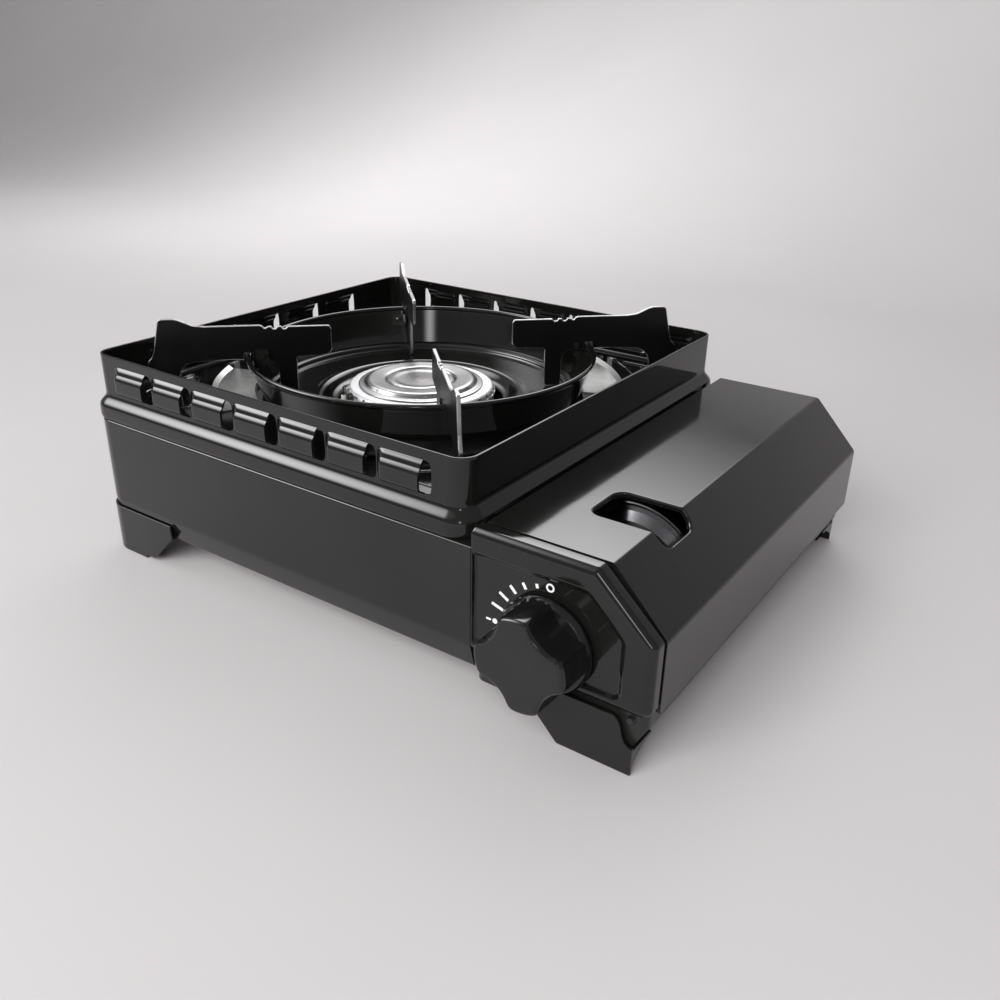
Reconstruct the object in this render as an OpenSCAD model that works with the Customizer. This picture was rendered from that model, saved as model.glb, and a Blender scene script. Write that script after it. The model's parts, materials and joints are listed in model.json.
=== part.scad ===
// Single burner cassette stove with windbreak, millimetres, +Z up.
// Origin: centre of the bounding box at the floor. Front (knob side) faces -Y.

/* [Housing] */
// Sheet thickness of the housing and windbreak
sheet = 1.2; // [1.0:0.1:1.4]
// Height of the housing's top rim above the floor
body_top = 77.4; // [76.8:0.1:77.4]
// Height of the crease where the lower wall turns inwards
crease_z = 30.3; // [28.5:0.1:32.0]
// Corner radius of the housing seen from above
body_r = 15; // [14:0.5:18]

/* [Windbreak] */
// Side of the square windbreak
tray_w = 245; // [243:0.5:245.5]
// Height of the windbreak's rim above the floor
rim_z = 112.4; // [109:0.2:115]
// Number of louvres on the front and back walls
louvres_x = 7; // [1:1:7]
// Number of louvres on the left wall
louvres_y = 5; // [1:1:6]
// How far a louvre stands proud of the wall
louvre_d = 4; // [3:0.1:4.2]

/* [Pan support] */
// Height of the four outer ears
ear_z = 129; // [127:0.2:131]
// Thickness of a support blade
blade_t = 2.0; // [1.6:0.1:2.0]
// Height of the inner windshield's rolled rim
ring_top = 109.1; // [108.7:0.1:109.2]

/* [Burner] */
// Number of flame slots around the burner
ports = 36; // [12:2:48]
// Height of the burner cap
cap_z = 92; // [91:0.2:93]

/* [Cartridge] */
// Radius of the can's side wall
can_r = 33.2; // [32.6:0.1:33.2]
// Thickness of the can's wall, with the gas lumped into it
can_t = 1.0; // [0.6:0.1:1.4]

/* [Knob] */
// Outer radius of the four-lobed grip
knob_r = 21.4; // [19:0.1:21.5]
// Radius of the finger valleys' cutters
valley_r = 18; // [14:0.5:20]

/* [Lid] */
// Length of the viewing slot across the lid
slot_l = 37; // [30:1:38]
// Width of the viewing slot along the lid
slot_w = 27.2; // [20:0.2:28]

/* [Hidden] */

enamel = [0.06,0.06,0.06]; dark = [0.12,0.12,0.12]; steel = [0.7,0.7,0.72];
brass = [0.8,0.65,0.3]; alu = [0.75,0.76,0.78]; rubber = [0.1,0.1,0.1];

W = 341; D = 277;                     // overall width and depth
tcx = -43.25; tcy = 10.6;             // burner axis
th = tray_w/2;
tx0 = tcx-th; tx1 = tcx+th; ty0 = tcy-th; ty1 = tcy+th;
tray_r = 9;
bx0 = -W/2+0.8; bx1 = 84.3; by0 = -116.2; by1 = 137.4;   // housing walls
floor_z = 88.6;                       // tray floor, upper face
ax = 124.8; az = 48.2;                // valve and cartridge axis
kx = 123.2; kz = 46.4;                // knob and spindle axis
dx = 124.4; dz = 46;                  // middle of the printed dial
mix_a = -30; mix_z = 64;              // mixing tube heading and height
hx = 88.9; hz = 82.2;                 // lid hinge axis
can_y0 = -60; can_y1 = 124.5;         // collar face and base of the cartridge
rim_r = can_r+1.3;

// ---- helpers ----
module rr(x0,x1,y0,y1,r) {
  translate([x0+r,y0]) square([x1-x0-2*r,y1-y0]);
  translate([x0,y0+r]) square([x1-x0,y1-y0-2*r]);
  for (x=[x0+r,x1-r], y=[y0+r,y1-r]) translate([x,y]) circle(r,$fn=64);
}
module run(px,py,a,len) translate([px,py,0]) rotate([90,0,a]) linear_extrude(len) children();
module bend(cx,cy,a,r) translate([cx,cy,0]) rotate([0,0,a]) rotate_extrude(angle=90,$fn=96) translate([r,0]) children();
module loop(x0,x1,y0,y1,r) {
  run(x1,y1-r,0,y1-y0-2*r) children();
  run(x0+r,y1,90,x1-x0-2*r) children();
  run(x0,y0+r,180,y1-y0-2*r) children();
  run(x1-r,y0,270,x1-x0-2*r) children();
  bend(x1-r,y1-r,0,r) children();
  bend(x0+r,y1-r,90,r) children();
  bend(x0+r,y0+r,180,r) children();
  bend(x1-r,y0+r,270,r) children();
}
module at_burner() translate([tcx,tcy,0]) children();
// the loose pan support sits a little off the burner's axis
module at_pan() translate([tcx+1.4,tcy+0.9,0]) children();
module rev(n=96) at_burner() rotate_extrude($fn=n) children();
// along the knob axis: local x right, y up, z towards +Y starting at y
module on_axis(y) translate([ax,y,az]) rotate([-90,0,0]) children();
module axcyl(r,y0,y1,n=64) on_axis(y0) cylinder(r=r,h=y1-y0,$fn=n);
// the same, along the knob's own axis
module on_knob(y) translate([kx,y,kz]) rotate([-90,0,0]) children();
module on_dial(y) translate([dx,y,dz]) rotate([-90,0,0]) children();
module kcyl(r,y0,y1,n=64) on_knob(y0) cylinder(r=r,h=y1-y0,$fn=n);
module axtube(ro,ri,y0,y1) difference() { axcyl(ro,y0,y1); axcyl(ri,y0-1,y1+1); }
// solid of revolution about the knob axis; profile is (radius, y)
module axrev(n=96) translate([ax,0,az]) rotate([-90,0,0]) rotate_extrude($fn=n) children();
module rod(p,q,r,n=24) {
  v = q-p; l = norm(v);
  translate(p) rotate([0,acos(v[2]/l),atan2(v[1],v[0])]) cylinder(r=r,h=l,$fn=n);
}
module prismy(y0,y1) translate([0,y1,0]) rotate([90,0,0]) linear_extrude(y1-y0) children();
module mixdir(d) at_burner() rotate([0,0,mix_a]) translate([d,0,mix_z]) rotate([0,90,0]) children();

// ---- housing ----
module body_profile() polygon([[0,crease_z],[0,body_top-1.5],[-0.3,body_top-0.6],[-0.9,body_top-0.1],
  [-1.6,body_top],[-14,body_top],[-14,body_top-sheet],[-sheet-0.7,body_top-sheet],[-sheet,body_top-sheet-0.7],
  [-sheet,crease_z+0.2],[-3-sheet+0.1,19],[-3-sheet-0.6,18.4],[-10,18.4],[-10,17.4],[-4.2,17.4],[-3.3,17.9]]);
module body_shell() color(enamel) {
  run(bx0,by0+body_r,180,by1-by0-2*body_r) body_profile();
  run(bx1,by0,270,bx1-bx0-body_r) body_profile();
  run(bx0+body_r,by1,90,bx1-bx0-body_r) body_profile();
  bend(bx0+body_r,by1-body_r,90,body_r) body_profile();
  bend(bx0+body_r,by0+body_r,180,body_r) body_profile();
}
module bottom_plate() color(steel) difference() {
  translate([0,0,18.45]) linear_extrude(1) rr(bx0+4.8,bx1-0.9,by0+4.8,by1-4.8,9.5);
  for (i=[-3:3]) translate([tcx+i*26,tcy-78,18]) linear_extrude(2) rr(-4,4,-22,22,3.9);
  for (i=[-3:3]) translate([tcx+i*26,tcy+86,18]) linear_extrude(2) rr(-4,4,-16,16,3.9);
}
module partition_wall() color(dark) {
  difference() {
    translate([84.4,-112.2,17.5]) cube([1,248.2,60.8]);
    translate([84,-63.4,mix_z]) rotate([0,90,0]) cylinder(r=4.2,h=2,$fn=32);
    translate([84,-103,44]) rotate([0,90,0]) cylinder(r=2.2,h=2,$fn=32);
    translate([84,4,70.3]) cube([2,32,2.6]);
  }
  translate([74,-105,19.5]) cube([10.4,230,1]);
}
module bay_base() color(dark) {
  difference() {
    intersection() {
      translate([0,0,12]) linear_extrude(28) rr(85.6,168,-113.4,130.9,5);
      prismy(-120,140) polygon([[80,11],[162.4,11],[163,12],[168,20.5],[169,22],[169,41],[80,41]]);
    }
    intersection() {
      translate([0,0,13.2]) linear_extrude(30) rr(86.8,166.8,-112.2,129.7,3.8);
      prismy(-119,139) polygon([[80,12],[161.6,12],[162.3,13.2],[166.8,20.8],[168,22.8],[168,44],[80,44]]);
    }
    translate([88.5,-120,34]) cube([90,260,10]);
    translate([80,-120,27.5]) cube([100,11,20]);
    translate([80,126,34]) cube([20,10,10]);
  }
}
function panel_pts(o) = [[85.2+o,28+o],[85.2+o,86.8-o],[143.4-0.41*o,86.8-o],[170.4-o,61.6-0.44*o],
  [170.4-o,34+0.2*o],[169.9-o,31.7+0.4*o],[168.6-0.8*o,29.8+0.6*o],[166.7-0.5*o,28.5+0.9*o],[164.4-0.2*o,28+o]];
module window2d() { polygon([[80,33.4],[80,75.4],[140.4,75.4],[156.6,59.6],[156.6,35.4],[155.6,33.9],[154.6,33.4]]); }
module front_bezel() color(enamel) difference() {
  prismy(-116.8,-109.4) polygon(panel_pts(0));
  prismy(-115.4,-109) polygon(panel_pts(1.4));
  prismy(-118,-115.35) window2d();
  // room for the knob's shaft bush and the housing's lower return
  prismy(-112,-109) polygon([[80,30],[80,76],[86.8,76],[86.8,30]]);
}
module control_panel() color(dark) difference() {
  prismy(-115.35,-114.15) polygon([[86.7,30],[86.7,78.4],[141.6,78.4],[159.6,61],[159.6,30]]);
  kcyl(6.5,-117,-113,48);
}
module tick(a,r0,r1,w) on_dial(-115.5) rotate([0,0,-a]) translate([r0,-w/2,0]) cube([r1-r0,w,0.15]);
module dial_marks() color([0.9,0.9,0.9]) {
  tick(163,24.3,30.2,1.3); tick(149,24.3,29.4,1.3); tick(135,24.3,28.4,1.3); tick(121,24.3,27.3,1.3); tick(107,24.3,26.2,1.3);
  // off mark: a small ring; start mark: a bar with a dot
  on_dial(-115.5) rotate([0,0,-93]) translate([25.4,0,0]) difference() { cylinder(r=1.9,h=0.15,$fn=32); translate([0,0,-1]) cylinder(r=1.15,h=3,$fn=32); }
  on_dial(-115.5) rotate([0,0,-179]) translate([27.2,0,0]) { cylinder(r=1.2,h=0.15,$fn=32); translate([2,-0.45,0]) cube([2.4,0.9,0.15]); }
}

// ---- feet: plate outside the housing's lower crease, toe and fixing flange ----
fx0 = -W/2; fx1 = 164.65; fy0 = -117.1; fy1 = D/2;
module foot_ring(z0,z1,inset) difference() {
  translate([0,0,z0]) linear_extrude(z1-z0) rr(fx0,fx0+120,fy0,fy1,15.9);
  translate([0,0,z0-1]) linear_extrude(z1-z0+2) rr(fx0+inset,fx0+121,fy0+inset,fy1-inset,15.9-min(inset,15));
}
module foot_left() {
  difference() {
    intersection() {
      union() { foot_ring(0,26.8,1.5); foot_ring(0,1.5,12); foot_ring(15.8,17.3,14.5); }
      translate([fx0-1,fy0-1,-1]) cube([58.2,46,40]);
    }
    // cut corner on the front face and on the side face
    prismy(fy0-2,fy0+16) polygon([[-132.8,-0.1],[-113,19.7],[-112,19.7],[-112,-1],[-132.8,-1]]);
    translate([fx0-2,0,0]) rotate([90,0,90]) linear_extrude(18) polygon([[fy0+26,-0.1],[fy0+45.9,19.6],[fy0+50,19.6],[fy0+50,-1],[fy0+26,-1]]);
    translate([fx0+33,fy0-2,-1]) cube([40,60,3]);
    translate([fx0-2,fy0+24,-1]) cube([60,60,3]);
  }
}
module foot_front_left() color(enamel) foot_left();
module foot_rear_left() color(enamel) translate([0,fy0+fy1,0]) mirror([0,1,0]) foot_left();
module foot_right(y0,s) {
  // plate: y0 is the outer face, s = +1 when the inside lies towards +Y
  a = s>0 ? y0 : y0-1.5; b = a+1.5;
  difference() {
    prismy(a,b) polygon([[130.2,0],[164.65,0],[164.65,13],[162.4,13.4],[160.6,14.8],[159.4,17.6],[158.6,21.2],[157.2,24.4],[155.2,26],
      [114,26],[112.4,25.4],[111.4,23.8],[111.2,19.6]]);
  }
  translate([128,s>0 ? b-0.01 : a-15.99,10.4]) cube([36.65,16,1.5]);
  translate([131,s>0 ? b-0.01 : a-5.99,0]) cube([28.5,6,1.5]);
  // side return with a sloping lower edge
  translate([163.15,0,0]) rotate([90,0,90]) linear_extrude(1.5)
    polygon(s>0 ? [[b-0.01,3.4],[b+2.4,5.8],[b+14,11.9],[b-0.01,11.9]]
                : [[a+0.01,3.4],[a-2.4,5.8],[a-14,11.9],[a+0.01,11.9]]);
}
module foot_front_right() color(enamel) foot_right(fy0,1);
module foot_rear_right() color(enamel) foot_right(fy1,-1);

module screw(h=6) { cylinder(r=1.5,h=h,$fn=24); translate([0,0,-2]) cylinder(r1=2.4,r2=3.2,h=2,$fn=24); }
module case_screws() color(steel) {
  // feet, from below
  for (p=[[-160,-106.5],[-160,127.8]]) translate([p[0],p[1],15.8]) screw(4.4);
  for (p=[[140,-108],[158,-108],[140,125],[158,125]]) translate([p[0],p[1],10.4]) screw(3.4);
  // panel screw beside the front right foot
  translate([161.8,-113.4,24.6]) rotate([-90,0,0]) scale([0.6,0.6,1]) screw(3);
  // burner bracket
  for (s=[-1,1]) translate([tcx,tcy+s*11,47.4]) screw(4);
  // diaphragm cover
  for (a=[30,150,270]) translate([150.1,-85+13.6*cos(a),az+13.6*sin(a)]) rotate([0,-90,0]) screw(4);
}

// ---- windbreak ----
module wall_profile() polygon([[-sheet,rim_z-0.3],[-sheet+0.3,rim_z],[-0.3,rim_z],[0,rim_z-0.3],[0,89.2],[0.9,88.9],[1.7,88.2],
  [1.9,87.3],[1.6,86.7],[2.6,86.4],[3.6,85.9],[4.1,85.1],[4.25,84.2],[4.25,77.45],[4.25-sheet,77.45],[4.25-sheet,83.9],
  [2.8,84.6],[2.1,85.1],[0.6,85.5],[-0.4,86.1],[-sheet,87.4]]);
lv0 = 92.2; lv1 = 107.6;
module hood_out() polygon([[-0.2,lv1],[0,lv1],[louvre_d*0.48,105.8],[louvre_d*0.55,104.5],[louvre_d,102.8],[louvre_d,94.8],[0,lv0],[-0.2,lv0]]);
module hood_in() polygon([[-0.6,106],[-0.1,106],[louvre_d*0.48-0.95,104.9],[louvre_d*0.55-0.95,103.8],[louvre_d-1,102.2],[louvre_d-1,95.4],[-0.1,93.4],[-0.6,93.4]]);
module louvre(px,py,a,len,closed_far) {
  difference() { run(px,py,a,len) hood_out();
    translate([px,py,0]) rotate([90,0,a]) translate([0,0,closed_far ? -1 : 1]) linear_extrude(len) hood_in(); }
}
// the slot runs past its hood's open end by lo
module slotbox(px,py,a,len,closed_far,lo) translate([px,py,0]) rotate([90,0,a]) translate([-sheet-0.5,93.6,closed_far ? -lo : 1]) cube([sheet+0.6,12.2,len-1+lo]);
lx = 25.2; ly = 26.5; ly_p = 34.7;
fx = function(i) -123.6+30.15*i;
bxl = function(i) -135.8+29.6*i;
lyf = function(i) -52+ly_p*i;
module windbreak_tray() color(enamel) {
  difference() {
    union() {
      loop(tx0,tx1,ty0,ty1,tray_r) wall_profile();
      translate([0,0,floor_z-sheet]) linear_extrude(sheet) difference() {
        rr(tx0+0.6,tx1-0.6,ty0+0.6,ty1-0.6,tray_r-0.6);
        translate([tcx,tcy]) circle(91,$fn=96);
      }
    }
    for (i=[0:louvres_x-1]) slotbox(fx(i),ty0,270,lx,true,4.3);
    for (i=[0:louvres_x-1]) slotbox(bxl(i),ty1,90,lx,true,2.2);
    for (i=[0:louvres_y-1]) if (i<5) slotbox(tx0,lyf(i)-ly,180,ly,false,2);
  }
  for (i=[0:louvres_x-1]) louvre(fx(i),ty0,270,lx,true);
  for (i=[0:louvres_x-1]) louvre(bxl(i),ty1,90,lx,true);
  for (i=[0:louvres_y-1]) if (i<5) louvre(tx0,lyf(i)-ly,180,ly,false);
}
module stay_plates() color(steel) for (a=[45,135,225,315]) at_burner() rotate([0,0,a-19])
  rotate_extrude(angle=38,$fn=120) polygon([[91.8,88.65],[112.4,88.65],[114.6,90.4],[114.6,91.2],[112,89.45],[91.8,89.45]]);
module drip_bowl() color(enamel) rev(120) polygon([[100,87.35],[85.2,87.35],[83.4,86.5],[82.6,84.9],[81,84.2],[61,83.6],
  [58.5,84.6],[55.5,84.9],[53.5,83.6],[50.5,81],[47.5,80.2],[46.5,80.2],[46.5,79.2],[48,79.2],[51.2,80.1],[54.3,82.6],
  [55.8,83.8],[58.2,83.5],[60.6,82.6],[81.3,83.2],[83.4,84.1],[84.3,85.8],[85.6,86.35],[100,86.35]]);

// ---- burner ----
module burner_base() color(alu) difference() {
  union() {
    rev() polygon([[0,49],[15,49],[17,52],[30,60],[39,72],[41.5,78],[41.5,84],[0,84]]);
    mixdir(20) cylinder(r=13,h=32,$fn=64);
  }
  rev() polygon([[0,55.2],[14,55.2],[16,56],[28,62.5],[36.5,73.5],[38.8,78.5],[38.8,85],[0,85]]);
  mixdir(12) cylinder(r=10.55,h=42,$fn=64);
}
module burner_ports() color(alu) difference() {
  rev() polygon([[33,84.1],[42,84.1],[42.3,85.2],[41.4,87.4],[39.6,88.5],[33,88.5]]);
  for (i=[0:ports-1]) at_burner() rotate([0,0,i*360/ports]) translate([37.4,-0.7,85.6]) cube([8,1.4,1.5]);
}
module burner_cap() color(steel) rev() polygon([[0,88.6],[35.2,88.6],[35.2,89.3],[31.8,89.6],[30.6,cap_z-1.2],[29.2,cap_z-0.2],[27.8,cap_z],
  [20.6,cap_z-0.3],[19.2,cap_z-0.9],[18.6,cap_z-1.8],[0,cap_z-1.8]]);
module burner_dish() color(steel) rev() polygon([[0,cap_z-1.75],[18.2,cap_z-1.75],[18.2,cap_z-1.0],[16.4,cap_z-0.7],[13,cap_z-1.2],[0,cap_z-1.1]]);
module burner_bracket() color(steel) at_burner() {
  difference() { translate([-22,-60,47.4]) cube([44,120,1.5]); for (s=[-1,1]) translate([0,s*38,47]) linear_extrude(3) rr(-12,12,-9,9,5); }
  for (s=[0,1]) mirror([0,s,0]) { translate([-22,58.5,19.5]) cube([44,1.5,29.4]); translate([-22,60,19.5]) cube([44,10,1]); }
}
module mixing_tube() color(steel) {
  difference() {
    union() { mixdir(36) cylinder(r=10.5,h=64,$fn=64); mixdir(97) cylinder(r1=10.5,r2=13,h=3,$fn=64); }
    mixdir(35) cylinder(r=9.5,h=66,$fn=64);
    mixdir(98.2) cylinder(r1=9.5,r2=12,h=3,$fn=64);
  }
}
module air_shutter() color(steel) difference() {
  union() { mixdir(86) cylinder(r=12,h=9,$fn=64); at_burner() rotate([0,0,mix_a]) translate([89,-1,mix_z-19]) cube([3,2,9]); }
  mixdir(85) cylinder(r=10.55,h=11,$fn=64);
}
module jet_nozzle() color(brass) {
  mixdir(98) cylinder(r=2.2,h=4,$fn=32);
  mixdir(101.5) cylinder(r=5,h=6.5,$fn=6);
  difference() { mixdir(103) cylinder(r=12.6,h=1.2,$fn=64); for (i=[0:5]) at_burner() rotate([0,0,mix_a]) translate([102,0,mix_z]) rotate([i*60+30,0,0]) translate([0,0,8.6]) rotate([0,90,0]) cylinder(r=2.4,h=4,$fn=24); }
  for (i=[0:2]) at_burner() rotate([0,0,mix_a]) translate([100.05,0,mix_z]) rotate([i*120,0,0]) translate([0,0,11.2]) rotate([0,90,0]) cylinder(r=0.9,h=3.4,$fn=16);
}
gp_r = (92-tcx)/cos(mix_a);
gp_y = tcy+gp_r*sin(mix_a);
gp_b = 12; gp_t = gp_b*tan(-mix_a/2);   // bend radius and its tangent length
module gas_pipe() color(brass) {
  mixdir(108.05) cylinder(r=2.5,h=gp_r-gp_t-108,$fn=48);
  mixdir(108.05) cylinder(r=4.4,h=7,$fn=6);
  translate([92+gp_t,gp_y+gp_b,mix_z]) rotate([0,0,-90+mix_a]) rotate_extrude(angle=-mix_a,$fn=96) translate([gp_b,0]) circle(2.4,$fn=48);
  translate([91.95+gp_t,gp_y,mix_z]) rotate([0,90,0]) cylinder(r=2.5,h=14.05-gp_t,$fn=48);
  translate([101,gp_y,mix_z]) rotate([0,90,0]) cylinder(r=4.4,h=5.4,$fn=6);
}
ea = -130; ex = tcx+44*cos(ea); ey = tcy+44*sin(ea);
module electrode_body() color([0.93,0.92,0.88]) translate([ex,ey,66]) cylinder(r=1.5,h=18,$fn=32);
module electrode_tip() color(steel) { translate([ex,ey,84.02]) cylinder(r=0.6,h=5.6,$fn=16);
  translate([ex,ey,89.4]) sphere(r=0.6,$fn=16);
  rod([ex,ey,89.4],[tcx+40*cos(ea),tcy+40*sin(ea),90.4],0.6,16); }
module electrode_bracket() color(dark) at_burner() rotate([0,0,ea]) {
  difference() { translate([39.45,-5,72]) cube([6.4,10,1]); translate([44,0,71]) cylinder(r=1.6,h=3,$fn=32); }
  translate([42.5,4.2,72]) cube([1,3.4,17.4]);
  translate([42.5,7.6,83]) cube([0.9,5.4,6.4]);
}
module ignition_lead() color([0.5,0.1,0.08]) {
  translate([-71.5,-103,44]) rotate([0,90,0]) cylinder(r=1.2,h=158.6,$fn=24);
  translate([-71.5,-103,44]) sphere(r=1.2,$fn=24);
  rod([-71.5,-103,44],[-71.5,ey,44],1.2);
  translate([-71.5,ey,44]) sphere(r=1.2,$fn=24);
  translate([ex,ey,44]) cylinder(r=1.2,h=21.9,$fn=24);
}

// ---- gas valve ----
module regulator_body() color(alu) difference() {
  union() {
    axcyl(20,-98.4,-70); kcyl(10,-102,-98.3); axcyl(23.5,-70,-66);
    translate([ax,-85,az]) rotate([0,90,0]) cylinder(r=13,h=22,$fn=64);
    translate([146,-85,az]) rotate([0,90,0]) cylinder(r=17,h=2.4,$fn=64);
  }
  kcyl(4.05,-103,-95); axcyl(1.55,-96,-75,32); axcyl(6,-75,-65);
  translate([138,-85,az]) rotate([0,90,0]) cylinder(r=10,h=12,$fn=48);
}
module regulator_cover() color(steel) translate([148.45,-85,az]) rotate([0,90,0]) union() {
  cylinder(r=17,h=1.6,$fn=64); cylinder(r1=11,r2=9.5,h=5,$fn=64); cylinder(r=4,h=7,$fn=32); }
module inlet_gland() color(rubber) axtube(5.95,2.5,-70,-61.2);
module magnet_holder() color(steel) {
  difference() {
    union() { axcyl(21,-65.95,-64.6); axcyl(8.5,-64.7,-62.6); }
    axcyl(6.05,-67,-60);
  }
  on_axis(-64.7) translate([-2.3,-21,0]) cube([4.6,5.4,5.8]);
}
module magnets() color([0.25,0.25,0.27]) for (s=[0,180]) on_axis(-64.55) rotate([0,0,s-38])
  rotate_extrude(angle=76,$fn=96) translate([12.6,0]) square([8,4.1]);
module pressure_pin() color(brass) { axcyl(1.5,-95.2,-73.2,32); axcyl(3.2,-74.4,-73.2,32); }
module knob_spindle() color(steel) difference() {
  kcyl(4,-130.9,-95.5);
  on_knob(-131) translate([-5,-8.2,0]) cube([10,5,12]);
}
module spindle_cam() color(dark) difference() {
  union() { kcyl(8.6,-106,-103); on_knob(-106) rotate([0,0,-60]) translate([0,-3,0]) cube([10.6,6,3]); }
  kcyl(4.05,-107,-102);
}
module panel_bush() color(dark) difference() { kcyl(6.45,-115.9,-113.4); kcyl(4.06,-116.9,-112.4); }
module knob() color(dark) difference() {
  union() {
    translate([kx,0,kz]) rotate([-90,0,0]) rotate_extrude($fn=96) polygon([[0,-117.5],[21.6,-117.5],[21.6,-118.4],[20.6,-121],[0,-121]]);
    difference() { kcyl(knob_r,-D/2,-120,96);
      for (i=[0:3]) on_knob(-D/2-1) rotate([0,0,-(54+90*i)]) translate([knob_r-5+valley_r,0,0]) cylinder(r=valley_r,h=D/2-120-0.5,$fn=64); }
  }
  kcyl(4.05,-131,-116,48);
}
module igniter_body() color([0.85,0.85,0.82]) difference() {
  translate([87.3,-109,40]) cube([19.5,10.5,12]);
  translate([95.8,-103.75,kz]) rotate([0,90,0]) cylinder(r=3.05,h=12,$fn=32);
}
module igniter_plunger() color(dark) translate([99.8,-103.75,kz]) rotate([0,90,0]) { cylinder(r=3,h=12.6,$fn=32); translate([0,0,10.6]) cylinder(r=3.9,h=2,$fn=32); }
module heat_panel() color(alu) {
  translate([2,5,71]) cube([86,30,1.2]);
  translate([86.9,5,22]) cube([1.2,30,50.2]);
}
module cartridge_cradle() color(dark) difference() {
  for (y=[-30,95]) translate([97,y,13.25]) cube([56,8,10.5]);
  axcyl(can_r+0.35,-40,120,96);
}

// ---- cartridge ----
module cartridge_can() color([0.85,0.87,0.88]) axrev(120) polygon([[can_r-can_t,-44.4],[can_r,-44.4],[can_r,120.9],[can_r-can_t,120.9]]);
module cartridge_dome() color(steel) axrev(120) polygon([[rim_r,-47.4],[rim_r,-44.6],[can_r+0.2,-44.45],[can_r-3,-44.45],[can_r-3.8,-45.6],
  [26,-49.2],[18,-53.6],[13.2,-55.6],[13.2,-56.8],[18.4,-54.8],[26.6,-50.4],[can_r-3,-47],[can_r-1,-45.9],[can_r-0.2,-46.6],[can_r+0.2,-47.9],[rim_r-0.4,-48]]);
module cartridge_base() color(steel) axrev(120) polygon([[0,116.5],[18,117.6],[can_r-3,121],[can_r-1.2,121.2],[rim_r,121.2],[rim_r,124.2],[rim_r-0.4,124.5],
  [can_r+0.2,124.5],[can_r-0.6,122.8],[can_r-3.4,122.3],[18,118.8],[0,117.7]]);
module cartridge_collar() color(steel) difference() {
  axrev() polygon([[13.3,-56.9],[14.4,-56.9],[14.4,-58.8],[20.5,-58.8],[20.5,-60],[13.3,-60]]);
  on_axis(-62) translate([-3.2,-24,0]) cube([6.4,9,5]);
}
module cartridge_valve() color(steel) {
  axrev() polygon([[0,-54.8],[10,-54.8],[13.1,-55.8],[13.1,-57],[9.4,-56],[7,-56],[5.4,-59.4],[0,-59.4]]);
  axcyl(1.9,-64.5,-59.2,32);
}

// ---- lid ----
lz = 86.2;
module lid_out() polygon([[86.8,lz],[144,lz],[145.6,85.8],[146.9,84.95],[169.2,61.4],[170.2,60],[170.5,58.4],[170.5,27],
  [169.5,27],[169.5,58.2],[169.2,59.4],[168.4,60.7],[146.1,84.2],[145,84.9],[143.8,85.2],[86.8,85.2]]);
module lid_area() polygon([[88.9,lz],[144,lz],[145.6,85.8],[146.9,84.95],[169.2,61.4],[170.2,60],[170.5,58.4],[170.5,27],[88.9,27]]);
module lid_shell() color(enamel) difference() {
  union() { prismy(-106.9,133.1) lid_out(); prismy(132.1,133.1) lid_area(); }
  translate([0,0,70]) linear_extrude(20) translate([152.3-slot_l,-47-slot_w]) rr(0,slot_l,0,slot_w,6);
}
module lid_hinge_arms() color(steel) for (y=[-90.4,113.6]) difference() {
  union() { translate([hx,y+4.8,hz]) rotate([90,0,0]) cylinder(r=2.85,h=4.8,$fn=48); translate([hx,y,hz]) cube([12,4.8,2.95]); }
  translate([hx,y+6,hz]) rotate([90,0,0]) cylinder(r=1.55,h=8,$fn=48);
}
module hinge_brackets() color(steel) for (y=[-91,113]) {
  for (o=[-1.2,6]) difference() {
    union() {
      translate([hx,y+o+1.2,hz]) rotate([90,0,0]) cylinder(r=2.85,h=1.2,$fn=48);
      translate([86.3,y+o,72]) cube([4.4,1.2,8.4]);
    }
    translate([hx,y+o+2,hz]) rotate([90,0,0]) cylinder(r=1.52,h=3,$fn=48);
  }
  translate([85.45,y-1.2,66]) cube([1.1,8.4,12.2]);
}
module hinge_pins() color(steel) for (y=[-91,113]) translate([hx,y+8.4,hz]) rotate([90,0,0]) cylinder(r=1.5,h=10.8,$fn=48);
module lid_catch() color(steel) { translate([168.05,2,24]) cube([0.4,14,9.5]); translate([168.05,6,28]) cube([1.1,6,2]); }

// ---- pan support ----
module support_ring() color(enamel) translate([1.4,0.9,0]) rev(120) { polygon([[87.6,87.45],[88.6,87.45],[95.35,107.4],[94.35,107.4]]); translate([95.1,ring_top-1.4]) circle(1.4,$fn=32); }
module blade2d() polygon([[51.2,122.8],[50.3,121.6],[50.3,110.4],[51.2,108.4],[53.4,107.3],[69.5,106.5],
  [69.7,86.2],[70.4,84.5],[78.6,84.5],[79.5,86.2],[79.7,99],[80.4,102.4],[82.2,104.6],[85,105.4],[92.9,105.4],[92.9,ring_top+0.15],
  [97.4,ring_top+0.15],[97.4,105.5],[103,105.9],[124,105.2],[128,104],[131,101],[132.4,97],[132.8,88.7],[147,88.7],[147.8,92],
  [148,105.6],[145.4,108.6],[144,112],[141.6,123],[140.4,ear_z-0.9],[139,ear_z],[132.2,ear_z],[130,ear_z-0.6],[123,125.2],[117,124.5],
  [88.4,124.5],[86.8,123.9],[85.6,122.4],[84,123.6],[82.2,123.7],[81.2,122.3],[79.8,122.3],[78.7,123.6],[76.9,123.6],[75.9,122.2],[74.5,122.2],[73.4,123.5],[52.4,123.4]]);
module blade(a) color(enamel) at_pan() rotate([90,0,a]) translate([0,0,-blade_t/2]) linear_extrude(blade_t) blade2d();
module blade_front_left() blade(225);
module blade_front_right() blade(315);
module blade_rear_left() blade(135);
module blade_rear_right() blade(45);
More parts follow.
